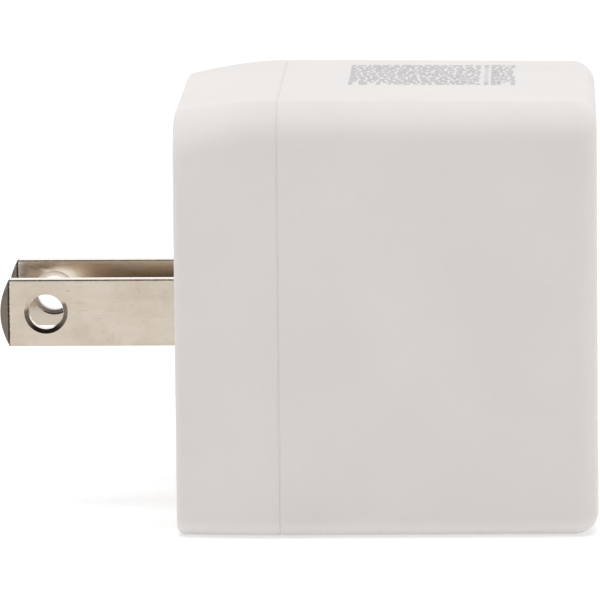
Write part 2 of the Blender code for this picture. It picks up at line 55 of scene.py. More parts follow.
# The housing, from the frame.
HOUSING_LOW, HOUSING_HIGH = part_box("main_housing")
WALL_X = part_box("front_cover")[0].x
END_X = HOUSING_HIGH.x
LIP_REACH = 3.0 * MM
PARTING_X = HOUSING_LOW.x + LIP_REACH
COVER_DEPTH = PARTING_X - WALL_X
HALF_WIDTH = HOUSING_HIGH.y
TOP_Z = HOUSING_HIGH.z

# Shape of the housing, the same as the CAD solid's.
TOP_RADIUS = 3.7 * MM
BASE_RADIUS = 2.4 * MM
WALL_EDGE_RADIUS = 0.7 * MM
END_EDGE_RADIUS = 2.15 * MM
HOUSING_DRAFT = 0.25 * MM
COVER_TOP_DROP = 1.15 * MM
COVER_SIDE_DROP = 0.9 * MM
COVER_TOP_RADIUS = 4.8 * MM
COVER_CURVE = 1.8
SIDE_WALL = 2.0 * MM
END_WALL = 2.2 * MM
LIP_POCKET = 3.25 * MM
LIP_OUTER_INSET = 1.15 * MM
POCKET_INSET = 1.0 * MM
SMALLEST_RADIUS = 0.4 * MM

# The groove along the parting line, in place of the open gap between the CAD solids.
SEAM_GAP = 0.004 * MM
SEAM_EASE = 0.25 * MM
SEAM_DEPTH = 0.09 * MM

# Blades. Each hole has its own small rise from the blade's middle, where the CAD solids have it.
BLADE_BOW = 0.85 * MM
BLADE_FACET = 0.3 * MM
BLADE_EDGE = 0.12 * MM
BLADE_HOLE_FROM_TIP = 4.35 * MM
BLADE_HOLE_RISES = {"near": 0.09 * MM, "far": -0.06 * MM}
BLADE_HOLE_RADIUS = 1.65 * MM
BLADE_SINK_RADIUS = 2.05 * MM
BLADE_SINK_DEPTH = 0.22 * MM

# Slots for the blades and windows for the sockets.
SLOT_CLEARANCE = 0.1 * MM
SLOT_FLARE = 0.2 * MM
SLOT_CORNER = 0.2 * MM
WINDOW_CLEARANCE = 0.12 * MM
WINDOW_EASE = 0.35 * MM

# Sockets.
PORTS = ("lower_port", "upper_port")
PORT_SHEET = 0.3 * MM
PORT_CORNER = 0.7 * MM

# The spring fingers in the sockets, each dipping furthest at a part of its length.
SPRING_OFFSET = 2.9 * MM
SPRING_SETBACK = 2.6 * MM
SPRING_WINDOW = Vector((5.6, 2.2, 0.0)) * MM
SPRING_TIP_GAP = 0.3 * MM
SPRING_WIDTH = 1.7 * MM
SPRING_TAPER = 0.15
SPRING_SHEET = 0.22 * MM
SPRING_DIP = 0.45 * MM
SPRING_DIP_AT = 0.8

# Tongues, with a channel for each contact.
TONGUE_BASE = 2.0 * MM
TONGUE_THICKNESS = 1.84 * MM
TONGUE_EASE = 0.07 * MM
TONGUE_NOSE = 0.45 * MM
TONGUE_NOSE_RISE = 0.6 * TONGUE_NOSE
CHANNEL_DEPTH = 0.12 * MM
CHANNEL_CLEARANCE = 0.12 * MM
CHANNEL_FRONT = 0.6 * MM

# Contacts: the crown and the curled front end are placed by their part of the length.
CONTACTS_PER_PORT = 4
CONTACT_GAP = 0.05 * MM
CONTACT_SHEET = 0.15 * MM
CONTACT_EDGE = 0.05 * MM
CONTACT_CROWN = 0.05 * MM
CONTACT_CROWN_AT = 0.72
CONTACT_CROWN_SPREAD = 0.14
CONTACT_CURL = 0.07 * MM
CONTACT_CURL_FROM = 0.9

# Print: rows of dashes in two spans, with squares and a bar among them.
PRINT_SEED = 5
PRINT_ROWS = 13
PRINT_PITCH = 1.18 * MM
PRINT_LOW_Y = -3.2 * MM
PRINT_SPANS = ((4.85 * MM, 17.3 * MM), (18.3 * MM, 20.6 * MM))
PRINT_DASH = (0.25 * MM, 0.95 * MM)
PRINT_GAP = (0.06 * MM, 0.32 * MM)
PRINT_HEIGHT = (0.7 * MM, 1.14 * MM)
PRINT_SHIFT = (-0.45, 0.45)
PRINT_PROUD = 0.012 * MM
PRINT_CLIP = 0.04 * MM
PRINT_BASE_Y = PRINT_LOW_Y - PRINT_PITCH / 2
PRINT_TOP_Y = PRINT_LOW_Y + PRINT_PITCH * (PRINT_ROWS - 0.5)
SQUARE_STARTS = (4.8 * MM, 7.45 * MM, 17.64 * MM, 20.18 * MM)
SQUARE_WIDTH = 0.41 * MM
SQUARE_DEPTH = 2.1 * MM

# Colours.
SHELL_COLOR = (0.765, 0.735, 0.715)
SHELL_SHADE = (0.745, 0.71, 0.685)
NICKEL_COLOR = (0.585, 0.517, 0.438)
NICKEL_TARNISH = (0.515, 0.439, 0.353)
# Painted light: the blades' inner faces paler than their outer ones.
INNER_PAINTED_LIGHT = (0.76, 0.675, 0.58)
NICKEL_INNER_LOW = (0.53, 0.465, 0.395)
# Painted reflection: the blade tips darkened as if mirroring the dim surround at their side.
TIP_PAINTED_REFLECTION = (0.175, 0.147, 0.118)
# Painted shade along the crease where the tip's facets meet the flats.
TIP_LINE_PAINTED_SHADE = (0.035, 0.028, 0.022)
# Painted shade low in the countersinks.
SINK_PAINTED_SHADE = (0.075, 0.05, 0.036)
# Painted dark reflection on the blades' rounded upper edges.
EDGE_PAINTED_REFLECTION = (0.07, 0.048, 0.035)
STEEL_COLOR = (0.62, 0.62, 0.63)
STEEL_TARNISH = (0.5, 0.5, 0.5)
GOLD_COLOR = (0.9, 0.66, 0.28)
GOLD_TARNISH = (0.75, 0.5, 0.2)
BRONZE_COLOR = (0.72, 0.45, 0.22)
BRONZE_TARNISH = (0.5, 0.28, 0.12)
TONGUE_COLOR = (0.02, 0.02, 0.022)
TONGUE_SHADE = (0.026, 0.026, 0.028)
BLACK_COLOR = (0.02, 0.02, 0.022)
BLACK_SHADE = (0.03, 0.03, 0.032)
BOARD_RESIN = (0.02, 0.13, 0.05)
BOARD_WEAVE = (0.045, 0.2, 0.09)
BOARD_DUST = (0.2, 0.24, 0.2)
INK_GREY = ((0.43, 0.42, 0.43), (0.53, 0.52, 0.53))
INK_PALE = ((0.56, 0.55, 0.56), (0.64, 0.63, 0.64))

# The coated parts inside, by slot: the finish's name, colour, shade, roughness, scale and bump.
COATINGS = {
    "ferrite": ("sintered", (0.045, 0.045, 0.05), (0.06, 0.058, 0.06), 0.6, 2500.0, 0.3),
    "winding_tape": ("yellow", (0.75, 0.55, 0.05), (0.68, 0.47, 0.04), 0.35, 500.0, 0.15),
    "capacitor_sleeve": ("shrunk", (0.03, 0.04, 0.07), (0.04, 0.05, 0.085), 0.35, 900.0, 0.15),
    "blue_ceramic": ("dipped", (0.04, 0.16, 0.5), (0.05, 0.19, 0.56), 0.3, 800.0, 0.3),
    "resistor_coat": ("dipped", (0.16, 0.3, 0.2), (0.2, 0.34, 0.24), 0.45, 900.0, 0.3),
    "insulating_paper": ("fibrous", (0.75, 0.74, 0.7), (0.68, 0.66, 0.6), 0.7, 3000.0, 0.3),
}

# Where the blades' finish and their painted light and shade change. A pair is where a change starts and
# where it is complete.
TIP_BLEND = 0.02 * MM
TIP_RAGGED = 0.05 * MM
TIP_LINE_REACH = (0.12 * MM, 0.06 * MM)
INNER_FACE_REACH = (0.8 * MM, 1.4 * MM)
INNER_LOW_REACH = 1.0 * MM
# The direction in which the countersinks' painted shade and the inner faces' lower tone get darker, and how
# far the painted shade reaches.
DARKER_DOWN = (0.17, 0.0, -0.98)
SINK_SHADE_REACH = (-0.75 * MM, -0.4 * MM)
SINK_BLEND = 0.02 * MM
BORE_BLEND = (0.03 * MM, 0.01 * MM)
EDGE_CLEAR_OF_SINK = (0.1 * MM, 0.2 * MM)

# Studio. The surround's brightness follows the height and depth of the direction looked in.
FLOOR_RADIUS = 6.0
FLOOR_GLOW = 0.46
FLOOR_COLOR = (0.61, 0.61, 0.61)
FLOOR_SHADE = (0.6, 0.6, 0.6)
SKY_BRIGHT_BELOW = 0.25
SKY_DARK_ABOVE = 0.6
SKY_DARK = 0.12
SKY_FRONT = 0.25
SKY_BACK = 1.3
SKY_FRONT_EDGE = -0.95
SKY_SIDE_EDGE = -0.18
OVERHEAD_PLACE = (0.0, -0.25, 2.4)
OVERHEAD_SIZE = 2.4
OVERHEAD_POWER = 65.5
OVERHEAD_COLOR = (0.985, 0.99, 1.0)

# Camera.
CAMERA_YAW = math.radians(1.84)
CAMERA_ELEVATION = math.radians(8.745)
CAMERA_ROLL = math.radians(0.553)
CAMERA_DISTANCE = 0.7293
CAMERA_SENSOR = 36.0
CAMERA_LENS = 458.8
CAMERA_CLIP = (0.01, 20.0)
CAMERA_AIM_X = 11.17 * MM
CAMERA_AIM_DROP = 0.75 * MM

CORNER_STEPS = 20
SHARP_ANGLE = math.radians(32)
BLADE_SHARP_ANGLE = math.radians(13)
CUT_MARGIN = 1.0 * MM


# ---------------------------------------------------------------- meshes


def smooth(mesh, sharp_angle):
    """Shade a mesh smooth except across its sharp edges."""
    mesh.shade_smooth()
    mesh.set_sharp_from_angle(angle=sharp_angle)


def finish_mesh(name, bm, material, sharp_angle=SHARP_ANGLE):
    """Link a bmesh as a named object, smooth except across its sharp edges."""
    bmesh.ops.recalc_face_normals(bm, faces=bm.faces)
    mesh = bpy.data.meshes.new(name)
    bm.to_mesh(mesh)
    bm.free()
    smooth(mesh, sharp_angle)
    obj = bpy.data.objects.new(name, mesh)
    bpy.context.scene.collection.objects.link(obj)
    if material:
        mesh.materials.append(material)
    return obj


def loft(name, rings, material, looped=False):
    """Join rings of equal length into one closed surface, capped unless the last ring meets the first."""
    bm = bmesh.new()
    rows = [[bm.verts.new(point) for point in ring] for ring in rings]
    pairs = list(zip(rows, rows[1:]))
    if looped:
        pairs.append((rows[-1], rows[0]))
    for first, second in pairs:
        for i in range(len(first)):
            j = (i + 1) % len(first)
            bm.faces.new((first[i], first[j], second[j], second[i]))
    if not looped:
        bm.faces.new(rows[0])
        bm.faces.new(rows[-1])
    return finish_mesh(name, bm, material)


def section(x, half_width, low, high, low_radius, high_radius, steps=CORNER_STEPS, y=0.0):
    """One ring of a rounded rectangle in a plane across X."""
    corners = (
        (half_width - high_radius, high - high_radius, high_radius, 0),
        (-half_width + high_radius, high - high_radius, high_radius, 1),
        (-half_width + low_radius, low + low_radius, low_radius, 2),
        (half_width - low_radius, low + low_radius, low_radius, 3),
    )
    ring = []
    for across, up, radius, quarter in corners:
        for step in range(steps + 1):
            angle = math.pi / 2 * (quarter + step / steps)
            ring.append(Vector((x, y + across + radius * math.cos(angle), up + radius * math.sin(angle))))
    return ring


def cut(obj, cutter, sharp_angle=SHARP_ANGLE):
    """Cut one object out of another, then remove the cutter."""
    modifier = obj.modifiers.new("cut", "BOOLEAN")
    modifier.solver = "EXACT"
    modifier.object = cutter
    apply_modifiers(obj, sharp_angle)
    bpy.data.objects.remove(cutter, do_unlink=True)


def ease_edges(obj, width):
    """Round an object's sharp edges."""
    modifier = obj.modifiers.new("ease", "BEVEL")
    modifier.width = width
    modifier.segments = 2
    modifier.limit_method = "ANGLE"
    modifier.harden_normals = False
    apply_modifiers(obj, SHARP_ANGLE)


def apply_modifiers(obj, sharp_angle):
    """Replace the object's mesh with its evaluated one."""
    graph = bpy.context.evaluated_depsgraph_get()
    mesh = bpy.data.meshes.new_from_object(obj.evaluated_get(graph))
    obj.modifiers.clear()
    obj.data = mesh
    smooth(mesh, sharp_angle)


def lathe(name, profile, centre, axis, material, steps=64):
    """Revolve a profile of (radius, height) about an axis through a centre."""
    along = AXES[axis]
    side = AXES[(axis + 1) % 3]
    other = AXES[(axis + 2) % 3]
    rings = []
    for radius, height in profile:
        ring = []
        for step in range(steps):
            angle = math.tau * step / steps
            out = radius * (side * math.cos(angle) + other * math.sin(angle))
            ring.append(Vector(centre) + along * height + out)
        rings.append(ring)
    return loft(name, rings, material)


def prism(name, outline, axis, low, high, material):
    """Extrude an outline, given in the two axes that follow the third one round, along that axis."""
    first, second = AXES[(axis + 1) % 3], AXES[(axis + 2) % 3]
    rings = [[first * a + second * b + AXES[axis] * level for a, b in outline] for level in (low, high)]
    return loft(name, rings, material)


def weighted_normals(obj):
    """Let the large faces keep their own shading beside the roundings."""
    modifier = obj.modifiers.new("weighted normals", "WEIGHTED_NORMAL")
    modifier.keep_sharp = True
    modifier.weight = 80


# ---------------------------------------------------------------- housing


def body_section(x, inset):
    """The housing's section at x, moved inwards by inset, on the CAD solid's surface."""
    cover = max(0.0, (PARTING_X - x) / COVER_DEPTH) ** COVER_CURVE
    draft = HOUSING_DRAFT * max(0.0, (x - PARTING_X) / (END_X - PARTING_X))
    top_radius = TOP_RADIUS + (COVER_TOP_RADIUS - TOP_RADIUS) * cover
    return section(
        x,
        HALF_WIDTH - COVER_SIDE_DROP * cover - draft - inset,
        inset,
        TOP_Z - COVER_TOP_DROP * cover - draft - inset,
        max(BASE_RADIUS - inset, SMALLEST_RADIUS),
        max(top_radius - inset, SMALLEST_RADIUS),
    )


def edge_rings(end_x, inward, radius, steps):
    """Rings of the rounding at one end of the housing, from its end face to its side."""
    rings = []
    for step in range(steps + 1):
        angle = math.pi / 2 * step / steps
        x = end_x + inward * radius * (1 - math.cos(angle))
        rings.append(body_section(x, radius * (1 - math.sin(angle))))
    return rings


def seam_rings(outward):
    """Rings of the eased rim at the parting line. The rim faces outward, +1 on the front cover."""
    rim_x = PARTING_X - outward * SEAM_GAP / 2
    rings = []
    steps = 4
    for step in range(steps + 1):
        angle = math.pi / 2 * step / steps
        x = rim_x - outward * SEAM_EASE * (1 - step / steps)
        rings.append(body_section(x, SEAM_DEPTH * (1 - math.cos(angle))))
    return rings


def between(first_x, last_x, count):
    """Rings at even steps between two stations, without the ends."""
    span = last_x - first_x
    return [body_section(first_x + span * step / (count + 1), 0.0) for step in range(1, count + 1)]


def front_cover(material):
    """The half at the wall, with a slot for each blade."""
    pocket_x = PARTING_X - LIP_POCKET
    floor_x = WALL_X + END_WALL
    side_x = WALL_X + WALL_EDGE_RADIUS
    rings = edge_rings(WALL_X, 1, WALL_EDGE_RADIUS, 10)
    rings += between(side_x, PARTING_X - SEAM_EASE, 18)
    rings += seam_rings(1)
    rings.append(body_section(PARTING_X - SEAM_GAP / 2, POCKET_INSET))
    rings.append(body_section(pocket_x, POCKET_INSET))
    rings.append(body_section(pocket_x, SIDE_WALL))
    rings.append(body_section(floor_x, SIDE_WALL))
    cover = loft("front_cover_shell", rings, material)
    for node in ("blade_near", "blade_far"):
        cut(cover, slot_cutter(node, floor_x))
    weighted_normals(cover)
    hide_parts("front_cover")
    return cover


def slot_cutter(node, floor_x):
    """A cutter for one blade's slot, flared a little at the wall face."""
    low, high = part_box(node)
    middle = (low + high) / 2
    rings = []
    stations = (
        (WALL_X - CUT_MARGIN, SLOT_CLEARANCE + SLOT_FLARE + CUT_MARGIN),
        (WALL_X + SLOT_FLARE, SLOT_CLEARANCE),
        (floor_x + CUT_MARGIN, SLOT_CLEARANCE),
    )
    for x, spare in stations:
        half_width = (high.y - low.y) / 2 + spare
        radius = SLOT_CORNER + spare
        rings.append(section(x, half_width, low.z - spare, high.z + spare, radius, radius, 6, middle.y))
    return loft("slot_cutter", rings, None)


def main_housing(material):
    """The half at the sockets, with a window for each."""
    rings = edge_rings(END_X, -1, END_EDGE_RADIUS, 16)
    rings += between(END_X - END_EDGE_RADIUS, PARTING_X + SEAM_EASE, 10)
    rings += seam_rings(-1)
    rings.append(body_section(PARTING_X + SEAM_GAP / 2, LIP_OUTER_INSET))
    rings.append(body_section(PARTING_X - LIP_REACH, LIP_OUTER_INSET))
    rings.append(body_section(PARTING_X - LIP_REACH, SIDE_WALL))
    rings.append(body_section(END_X - END_WALL, SIDE_WALL))
    housing = loft("main_housing_shell", rings, material)
    for node in ("lower_port_shell", "upper_port_shell"):
        cut(housing, window_cutter(node))
    weighted_normals(housing)
    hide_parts("main_housing")
    return housing


def window_cutter(node):
    """A cutter for one socket's window, its rim eased at the face."""
    low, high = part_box(node)
    steps = 5
    stations = [(END_X - END_WALL - CUT_MARGIN, WINDOW_CLEARANCE)]
    for step in range(steps + 1):
        angle = math.pi / 2 * step / steps
        x = END_X - WINDOW_EASE * (1 - math.sin(angle))
        stations.append((x, WINDOW_CLEARANCE + WINDOW_EASE * (1 - math.cos(angle))))
    stations.append((END_X + CUT_MARGIN, WINDOW_CLEARANCE + WINDOW_EASE + CUT_MARGIN))
    rings = []
    for x, spare in stations:
        radius = PORT_CORNER + spare
        rings.append(section(x, high.y + spare, low.z - spare, high.z + spare, radius, radius, 8))
    return loft("window_cutter", rings, None)


# ---------------------------------------------------------------- blades


def blade(side, material):
    """One blade: rounded long edges, a tip ground on both faces and a countersunk hole."""
    node = f"blade_{side}"
    low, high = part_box(node)
    middle = (low + high) / 2
    half_height = (high.z - low.z) / 2
    half_thickness = (high.y - low.y) / 2
    edge_steps = 6
    profile = [(half_thickness - BLADE_FACET, 0.0)]
    for step in range(edge_steps + 1):
        angle = math.pi / 2 * step / edge_steps
        depth = half_thickness - BLADE_EDGE * (1 - math.sin(angle))
        profile.append((depth, BLADE_EDGE * (1 - math.cos(angle))))
    levels = [(-depth, inset) for depth, inset in reversed(profile)] + profile
    rings = [blade_outline(middle, low.x, high.x, half_height, half_thickness, *level) for level in levels]
    body = loft(f"{node}_plated", rings, material)
    outside = half_thickness + CUT_MARGIN
    inside = half_thickness - BLADE_SINK_DEPTH
    slope = (BLADE_SINK_RADIUS - BLADE_HOLE_RADIUS) / BLADE_SINK_DEPTH
    wide = BLADE_HOLE_RADIUS + slope * (outside - inside)
    hole = ((wide, -outside), (BLADE_HOLE_RADIUS, -inside), (BLADE_HOLE_RADIUS, inside), (wide, outside))
    centre = Vector((low.x + BLADE_HOLE_FROM_TIP, middle.y, middle.z + BLADE_HOLE_RISES[side]))
    cut(body, lathe("blade_hole", hole, centre, 1, None), BLADE_SHARP_ANGLE)
    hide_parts(node)
    return body


def blade_outline(middle, tip_x, tail_x, half_height, half_thickness, depth, inset):
    """The blade's outline in one plane across its thickness, with the tip's bow as that plane has it."""
    tip_steps = 24
    flat_x = tip_x + BLADE_BOW
    bow = BLADE_BOW * min(1.0, (half_thickness - abs(depth)) / BLADE_FACET)
    reach = half_height - inset
    ring = []
    for step in range(tip_steps + 1):
        along = 2.0 * step / tip_steps - 1.0
        x = flat_x - bow * (1.0 - along * along)
        ring.append(Vector((x, middle.y + depth, middle.z + along * reach)))
    for along in (1.0, -1.0):
        ring.append(Vector((tail_x, middle.y + depth, middle.z + along * reach)))
    return ring


# ---------------------------------------------------------------- sockets


def port_shell(port, material):
    """One socket's folded sheet-metal tube, its mouth rim eased, with two windows above and two below."""
    node = f"{port}_shell"
    low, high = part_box(node)
    rim = PORT_SHEET / 2
    rings = []
    steps = 8
    profile = [(low.x, 0.0), (high.x - rim, 0.0)]
    for step in range(1, steps + 1):
        angle = math.pi * step / steps
        profile.append((high.x - rim + rim * math.sin(angle), rim * (1 - math.cos(angle))))
    profile.append((low.x, PORT_SHEET))
    for x, inset in profile:
        radius = PORT_CORNER - inset
        rings.append(section(x, high.y - inset, low.z + inset, high.z - inset, radius, radius, 8))
    shell = loft(f"{node}_folded", rings, material, looped=True)
    for y in (-SPRING_OFFSET, SPRING_OFFSET):
        for z in (low.z, high.z):
            corner = Vector((SPRING_WINDOW.x, SPRING_WINDOW.y, 4 * PORT_SHEET)) / 2
            centre = Vector((high.x - SPRING_SETBACK - SPRING_WINDOW.x / 2, y, z))
            cut(shell, block("spring_window", centre - corner, centre + corner, None))
    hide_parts(node)
    return shell


def port_springs(port, material):
    """The four spring fingers of one socket's tube, bowed inwards to grip a plug."""
    low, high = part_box(f"{port}_shell")
    root_x = high.x - SPRING_SETBACK - SPRING_WINDOW.x
    length = SPRING_WINDOW.x - SPRING_TIP_GAP
    bm = bmesh.new()
    steps = 14
    for y in (-SPRING_OFFSET, SPRING_OFFSET):
        for z, inward in ((high.z, -1), (low.z, 1)):
            rows = []
            for step in range(steps + 1):
                part = step / steps
                x = root_x + length * part
                dip = SPRING_DIP * math.sin(math.pi * min(1.0, part / SPRING_DIP_AT) / 2) ** 2
                dip -= SPRING_DIP / 2 * max(0.0, (part - SPRING_DIP_AT) / (1 - SPRING_DIP_AT)) ** 2
                outside = z + inward * (PORT_SHEET - SPRING_SHEET + dip)
                inside = outside + inward * SPRING_SHEET
                reach = SPRING_WIDTH / 2 * (1.0 - SPRING_TAPER * part)
                corners = ((-reach, outside), (reach, outside), (reach, inside), (-reach, inside))
                rows.append([bm.verts.new((x, y + across, level)) for across, level in corners])
            for first, second in zip(rows, rows[1:]):
                for i in range(4):
                    j = (i + 1) % 4
                    bm.faces.new((first[i], first[j], second[j], second[i]))
            bm.faces.new(rows[0])
            bm.faces.new(rows[-1])
    return finish_mesh(f"{port}_springs", bm, material)


def block(name, low, high, material):
    """A block between two corners, as a starting shape for a cut or an easing."""
    outline = ((low.x, low.y), (high.x, low.y), (high.x, high.y), (low.x, high.y))
    return prism(name, outline, 2, low.z, high.z, material)


def port_tongue(port, material):
    """One socket's tongue with its rear block, the nose chamfered and a channel for each contact."""
    node = f"{port}_tongue"
    low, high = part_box(node)
    under = tongue_underside(port)
    over = under + TONGUE_THICKNESS
    base_x = low.x + TONGUE_BASE
    nose_x = high.x - TONGUE_NOSE
    outline = (
        (low.z, low.x),
        (low.z, base_x),
        (under, base_x),
        (under, nose_x),
        (under + TONGUE_NOSE_RISE, high.x),
        (over - TONGUE_NOSE_RISE, high.x),
        (over, nose_x),
        (over, base_x),
        (high.z, base_x),
        (high.z, low.x),
    )
    tongue = prism(f"{node}_moulded", outline, 1, low.y, high.y, material)
    for number in range(1, CONTACTS_PER_PORT + 1):
        start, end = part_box(f"{port}_contact_{number}")
        spare = Vector((0.0, CHANNEL_CLEARANCE, 0.0))
        corner = Vector((end.x + CHANNEL_FRONT, end.y, under + CHANNEL_DEPTH)) + spare
        cut(tongue, block("contact_channel", start - spare, corner, None))
    ease_edges(tongue, TONGUE_EASE)
    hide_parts(node)
    return tongue


def tongue_underside(port):
    """The height of a tongue's underside, just over its contacts."""
    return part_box(f"{port}_contact_1")[1].z + CONTACT_GAP


def port_contact(port, number, material):
    """One contact: a strip with a wiping crown, its front end curled up into the tongue's channel."""
    node = f"{port}_contact_{number}"
    low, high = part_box(node)
    half_width = (high.y - low.y) / 2
    middle_y = (low.y + high.y) / 2
    steps = 24
    rings = []
    for step in range(steps + 1):
        part = step / steps
        x = low.x + (high.x - low.x) * part
        crown = math.exp(-(((part - CONTACT_CROWN_AT) / CONTACT_CROWN_SPREAD) ** 2))
        curl = max(0.0, (part - CONTACT_CURL_FROM) / (1 - CONTACT_CURL_FROM)) ** 2
        bottom = low.z + CONTACT_CROWN * (1.0 - crown) + CONTACT_CURL * curl
        top = bottom + CONTACT_SHEET
        rings.append(section(x, half_width, bottom, top, CONTACT_EDGE, CONTACT_EDGE, 3, middle_y))
    contact = loft(f"{node}_strip", rings, material)
    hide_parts(node)
    return contact


# ---------------------------------------------------------------- print


def top_height(x):
    """The height of the housing's flat top at x."""
    return TOP_Z - HOUSING_DRAFT * max(0.0, (x - PARTING_X) / (END_X - PARTING_X))


def print_marks(material):
    """A block of short pad-printed dashes on the top, standing for small print without any lettering."""
    draw = random.Random(PRINT_SEED)
    bm = bmesh.new()
    squares = []
    for start in SQUARE_STARTS:
        squares.append((start, start + SQUARE_WIDTH, PRINT_BASE_Y, PRINT_BASE_Y + SQUARE_DEPTH))
    for start in SQUARE_STARTS[2:]:
        squares.append((start, start + SQUARE_WIDTH, PRINT_TOP_Y - SQUARE_DEPTH, PRINT_TOP_Y))
    for square in squares:
        dash(bm, *square)
    for row in range(PRINT_ROWS):
        middle = PRINT_LOW_Y + PRINT_PITCH * row
        for start, end in PRINT_SPANS:
            x = start
            while x < end - PRINT_DASH[0]:
                high_x = min(x + draw.uniform(*PRINT_DASH), end)
                height = draw.uniform(*PRINT_HEIGHT)
                y = middle + (PRINT_PITCH - height) * draw.uniform(*PRINT_SHIFT)
                place = (x, high_x, y - height / 2, y + height / 2)
                if not any(overlap(place, square) for square in squares):
                    dash(bm, *place)
                x = high_x + draw.uniform(*PRINT_GAP)
    return finish_mesh("print_marks", bm, material)


def print_bar(material):
    """The paler upright bar between the squares."""
    bm = bmesh.new()
    start = SQUARE_STARTS[2]
    dash(bm, start, start + SQUARE_WIDTH, PRINT_BASE_Y + SQUARE_DEPTH, PRINT_TOP_Y - SQUARE_DEPTH)
    return finish_mesh("print_bar", bm, material)


def overlap(first, second):
    """Whether two rectangles, each given as low and high x and then low and high y, overlap."""
    across = first[0] < second[1] and second[0] < first[1]
    along = first[2] < second[3] and second[2] < first[3]
    return across and along


def dash(bm, low_x, high_x, low_y, high_y):
    """A thin slab of ink with clipped corners, standing just proud of the top."""
    outline = (
        (low_x + PRINT_CLIP, low_y),
        (high_x - PRINT_CLIP, low_y),
        (high_x, low_y + PRINT_CLIP),
        (high_x, high_y - PRINT_CLIP),
        (high_x - PRINT_CLIP, high_y),
        (low_x + PRINT_CLIP, high_y),
        (low_x, high_y - PRINT_CLIP),
        (low_x, low_y + PRINT_CLIP),
    )
    lower = [bm.verts.new((x, y, top_height(x) - PRINT_PROUD)) for x, y in outline]
    upper = [bm.verts.new((x, y, top_height(x) + PRINT_PROUD)) for x, y in outline]
    for i in range(len(outline)):
        j = (i + 1) % len(outline)
        bm.faces.new((lower[i], lower[j], upper[j], upper[i]))
    bm.faces.new(lower)
    bm.faces.new(upper)


# ---------------------------------------------------------------- materials


class Nodes:
    """A short way to write a material's node tree."""

    def __init__(self, name):
        self.material = bpy.data.materials.new(name)
        self.material.use_nodes = True
        self.tree = self.material.node_tree
        self.shader = self.tree.nodes["Principled BSDF"]
        self.position = self.add("ShaderNodeTexCoord").outputs["Object"]

    def add(self, kind, inputs=None, **settings):
        """A node with its settings, and with each named input set or linked."""
        node = self.tree.nodes.new(kind)
        for key, value in settings.items():
            setattr(node, key, value)
        for key, value in (inputs or {}).items():
            self.put(node.inputs[key], value)
        return node

    def put(self, socket, value):
        """Link an output to a socket, or set the socket's value."""
        if isinstance(value, bpy.types.NodeSocket):
            self.tree.links.new(value, socket)
        else:
            socket.default_value = value

    def noise(self, scale, detail=4.0, roughness=0.5, stretch=(1.0, 1.0, 1.0)):
        """Noise in object space, from 0 to 1. Scale is in features per metre."""
        mapping = self.add("ShaderNodeMapping", {"Vector": self.position, "Scale": stretch})
        inputs = {"Vector": mapping.outputs[0], "Scale": scale, "Detail": detail, "Roughness": roughness}
        return self.add("ShaderNodeTexNoise", inputs).outputs["Fac"]

    def ramp(self, value, low, high, out_low=0.0, out_high=1.0):
        """Value remapped from low..high to out_low..out_high, and clamped."""
        inputs = {"Value": value, "From Min": low, "From Max": high, "To Min": out_low, "To Max": out_high}
        return self.add("ShaderNodeMapRange", inputs).outputs[0]

    def math(self, operation, first, second=0.0):
        """One operation on two values."""
        return self.add("ShaderNodeMath", {0: first, 1: second}, operation=operation).outputs[0]

    def vector(self, operation, first, second=(0.0, 0.0, 0.0)):
        """A node for one operation on two vectors."""
        return self.add("ShaderNodeVectorMath", {0: first, 1: second}, operation=operation)

    def mix(self, factor, first, second):
        """Two colours mixed by a factor."""
        node = self.add("ShaderNodeMix", data_type="RGBA")
        self.put(node.inputs[0], factor)
        for socket, color in ((node.inputs[6], first), (node.inputs[7], second)):
            self.put(socket, (*color, 1.0) if isinstance(color, tuple) else color)
        return node.outputs[2]

    def bump(self, layers):
        """Bump layers of (height, strength, distance), each on top of the last."""
        normal = None
        for height, strength, distance in layers:
            inputs = {"Height": height, "Strength": strength, "Distance": distance}
            if normal:
                inputs["Normal"] = normal
            normal = self.add("ShaderNodeBump", inputs).outputs[0]
        self.put(self.shader.inputs["Normal"], normal)

    def set(self, **values):
        """Set or link the shader's own inputs."""
        for key, value in values.items():
            socket = self.shader.inputs[key.replace("_", " ")]
            self.put(socket, (*value, 1.0) if isinstance(value, tuple) and len(value) == 3 else value)


def moulded_plastic(name, color, shade, roughness):
    """Moulded plastic: a fine spark-eroded grain, soft clouding and small glossier scuffs."""
    n = Nodes(name)
    clouds = n.noise(90.0, 3.0)
    grain_fine = n.noise(9000.0, 2.0, 0.6)
    grain_coarse = n.noise(2600.0, 3.0, 0.55)
    scuff = n.ramp(n.noise(420.0, 6.0, 0.7, (0.25, 1.0, 1.0)), 0.66, 0.8)
    tone = n.mix(n.ramp(clouds, 0.35, 0.65), color, shade)
    speck = n.mix(n.ramp(grain_coarse, 0.3, 0.7, 0.0, 0.1), tone, tuple(0.9 * c for c in shade))
    n.set(Base_Color=speck)
    rough = n.ramp(grain_coarse, 0.3, 0.7, roughness - 0.04, roughness + 0.05)
    worn = n.add("ShaderNodeMath", {0: scuff, 1: -0.08, 2: rough}, operation="MULTIPLY_ADD")
    n.set(Roughness=worn.outputs[0])
    n.bump(((grain_fine, 0.05, 0.00002), (grain_coarse, 0.06, 0.00004)))
    return n


def shell_plastic():
    """The housing's warm off-white plastic."""
    n = moulded_plastic("shell_plastic_off_white", SHELL_COLOR, SHELL_SHADE, 0.62)
    n.set(Subsurface_Weight=0.08, Subsurface_Scale=0.0015, IOR=1.42)
    n.shader.inputs["Subsurface Radius"].default_value = (1.0, 0.8, 0.6)
    return n.material


